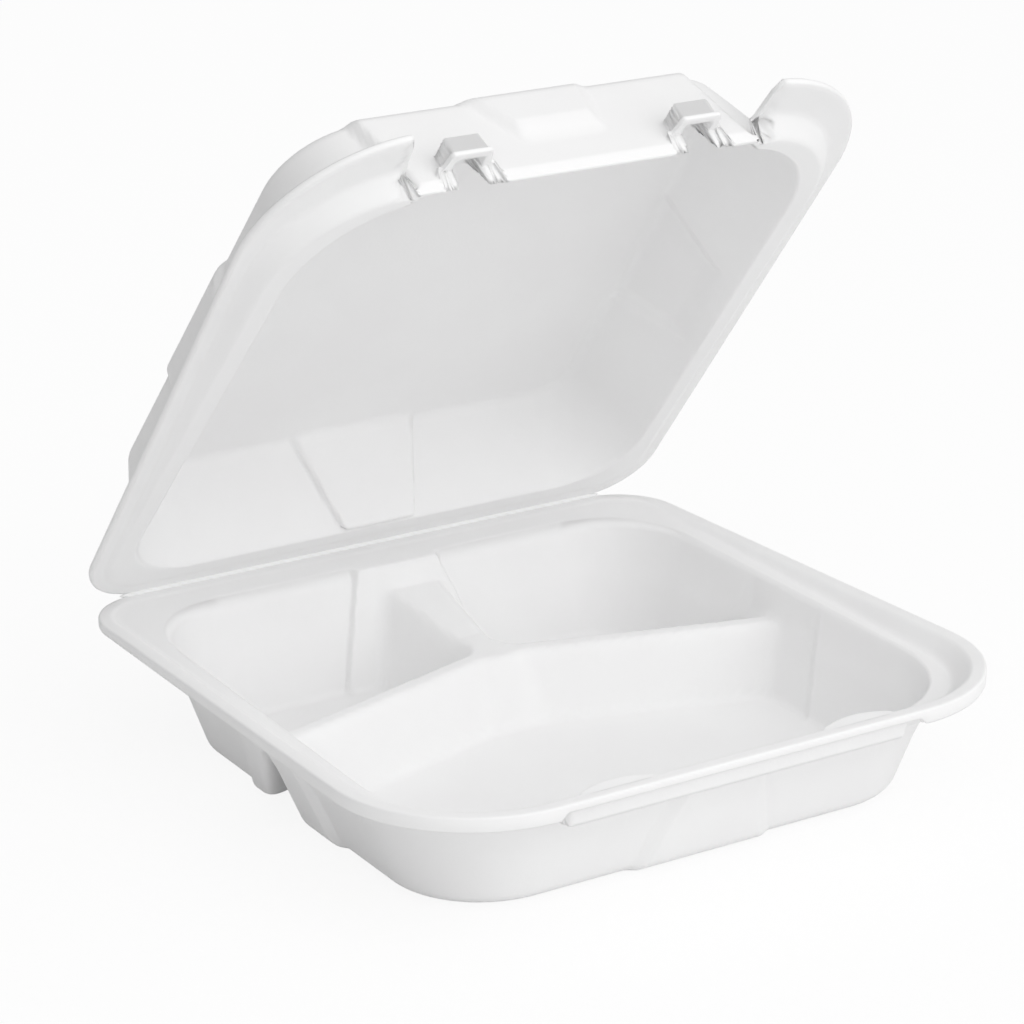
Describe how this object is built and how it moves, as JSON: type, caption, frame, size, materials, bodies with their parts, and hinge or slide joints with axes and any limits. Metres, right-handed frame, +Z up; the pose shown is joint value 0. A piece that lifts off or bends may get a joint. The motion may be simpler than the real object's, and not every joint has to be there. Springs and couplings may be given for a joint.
{
  "type": "hinged three-compartment foam food container",
  "caption": "White foam takeaway container with a divided tray and a hinged lid, shown part open.",
  "frame": {"origin": "middle of the large front compartment's underside, on the table, on the container's centre line", "axes": "+X along the hinge to the right, -Y to the front where the lid opens, +Z up"},
  "size_m": [0.2348, 0.2385, 0.2273],
  "materials": {
    "foam": "fine-celled foam skin with a faint sheen"
  },
  "bodies": {
    "base": {"base": "foam"},
    "lid": {"lid": "foam"}
  },
  "joints": [
    {"name": "lid_hinge", "type": "hinge", "parent": "base", "child": "lid", "pos_m": [0, 0.163, 0.04215], "axis": [-1, 0, 0], "range_deg": [-51, 129]}
  ]
}
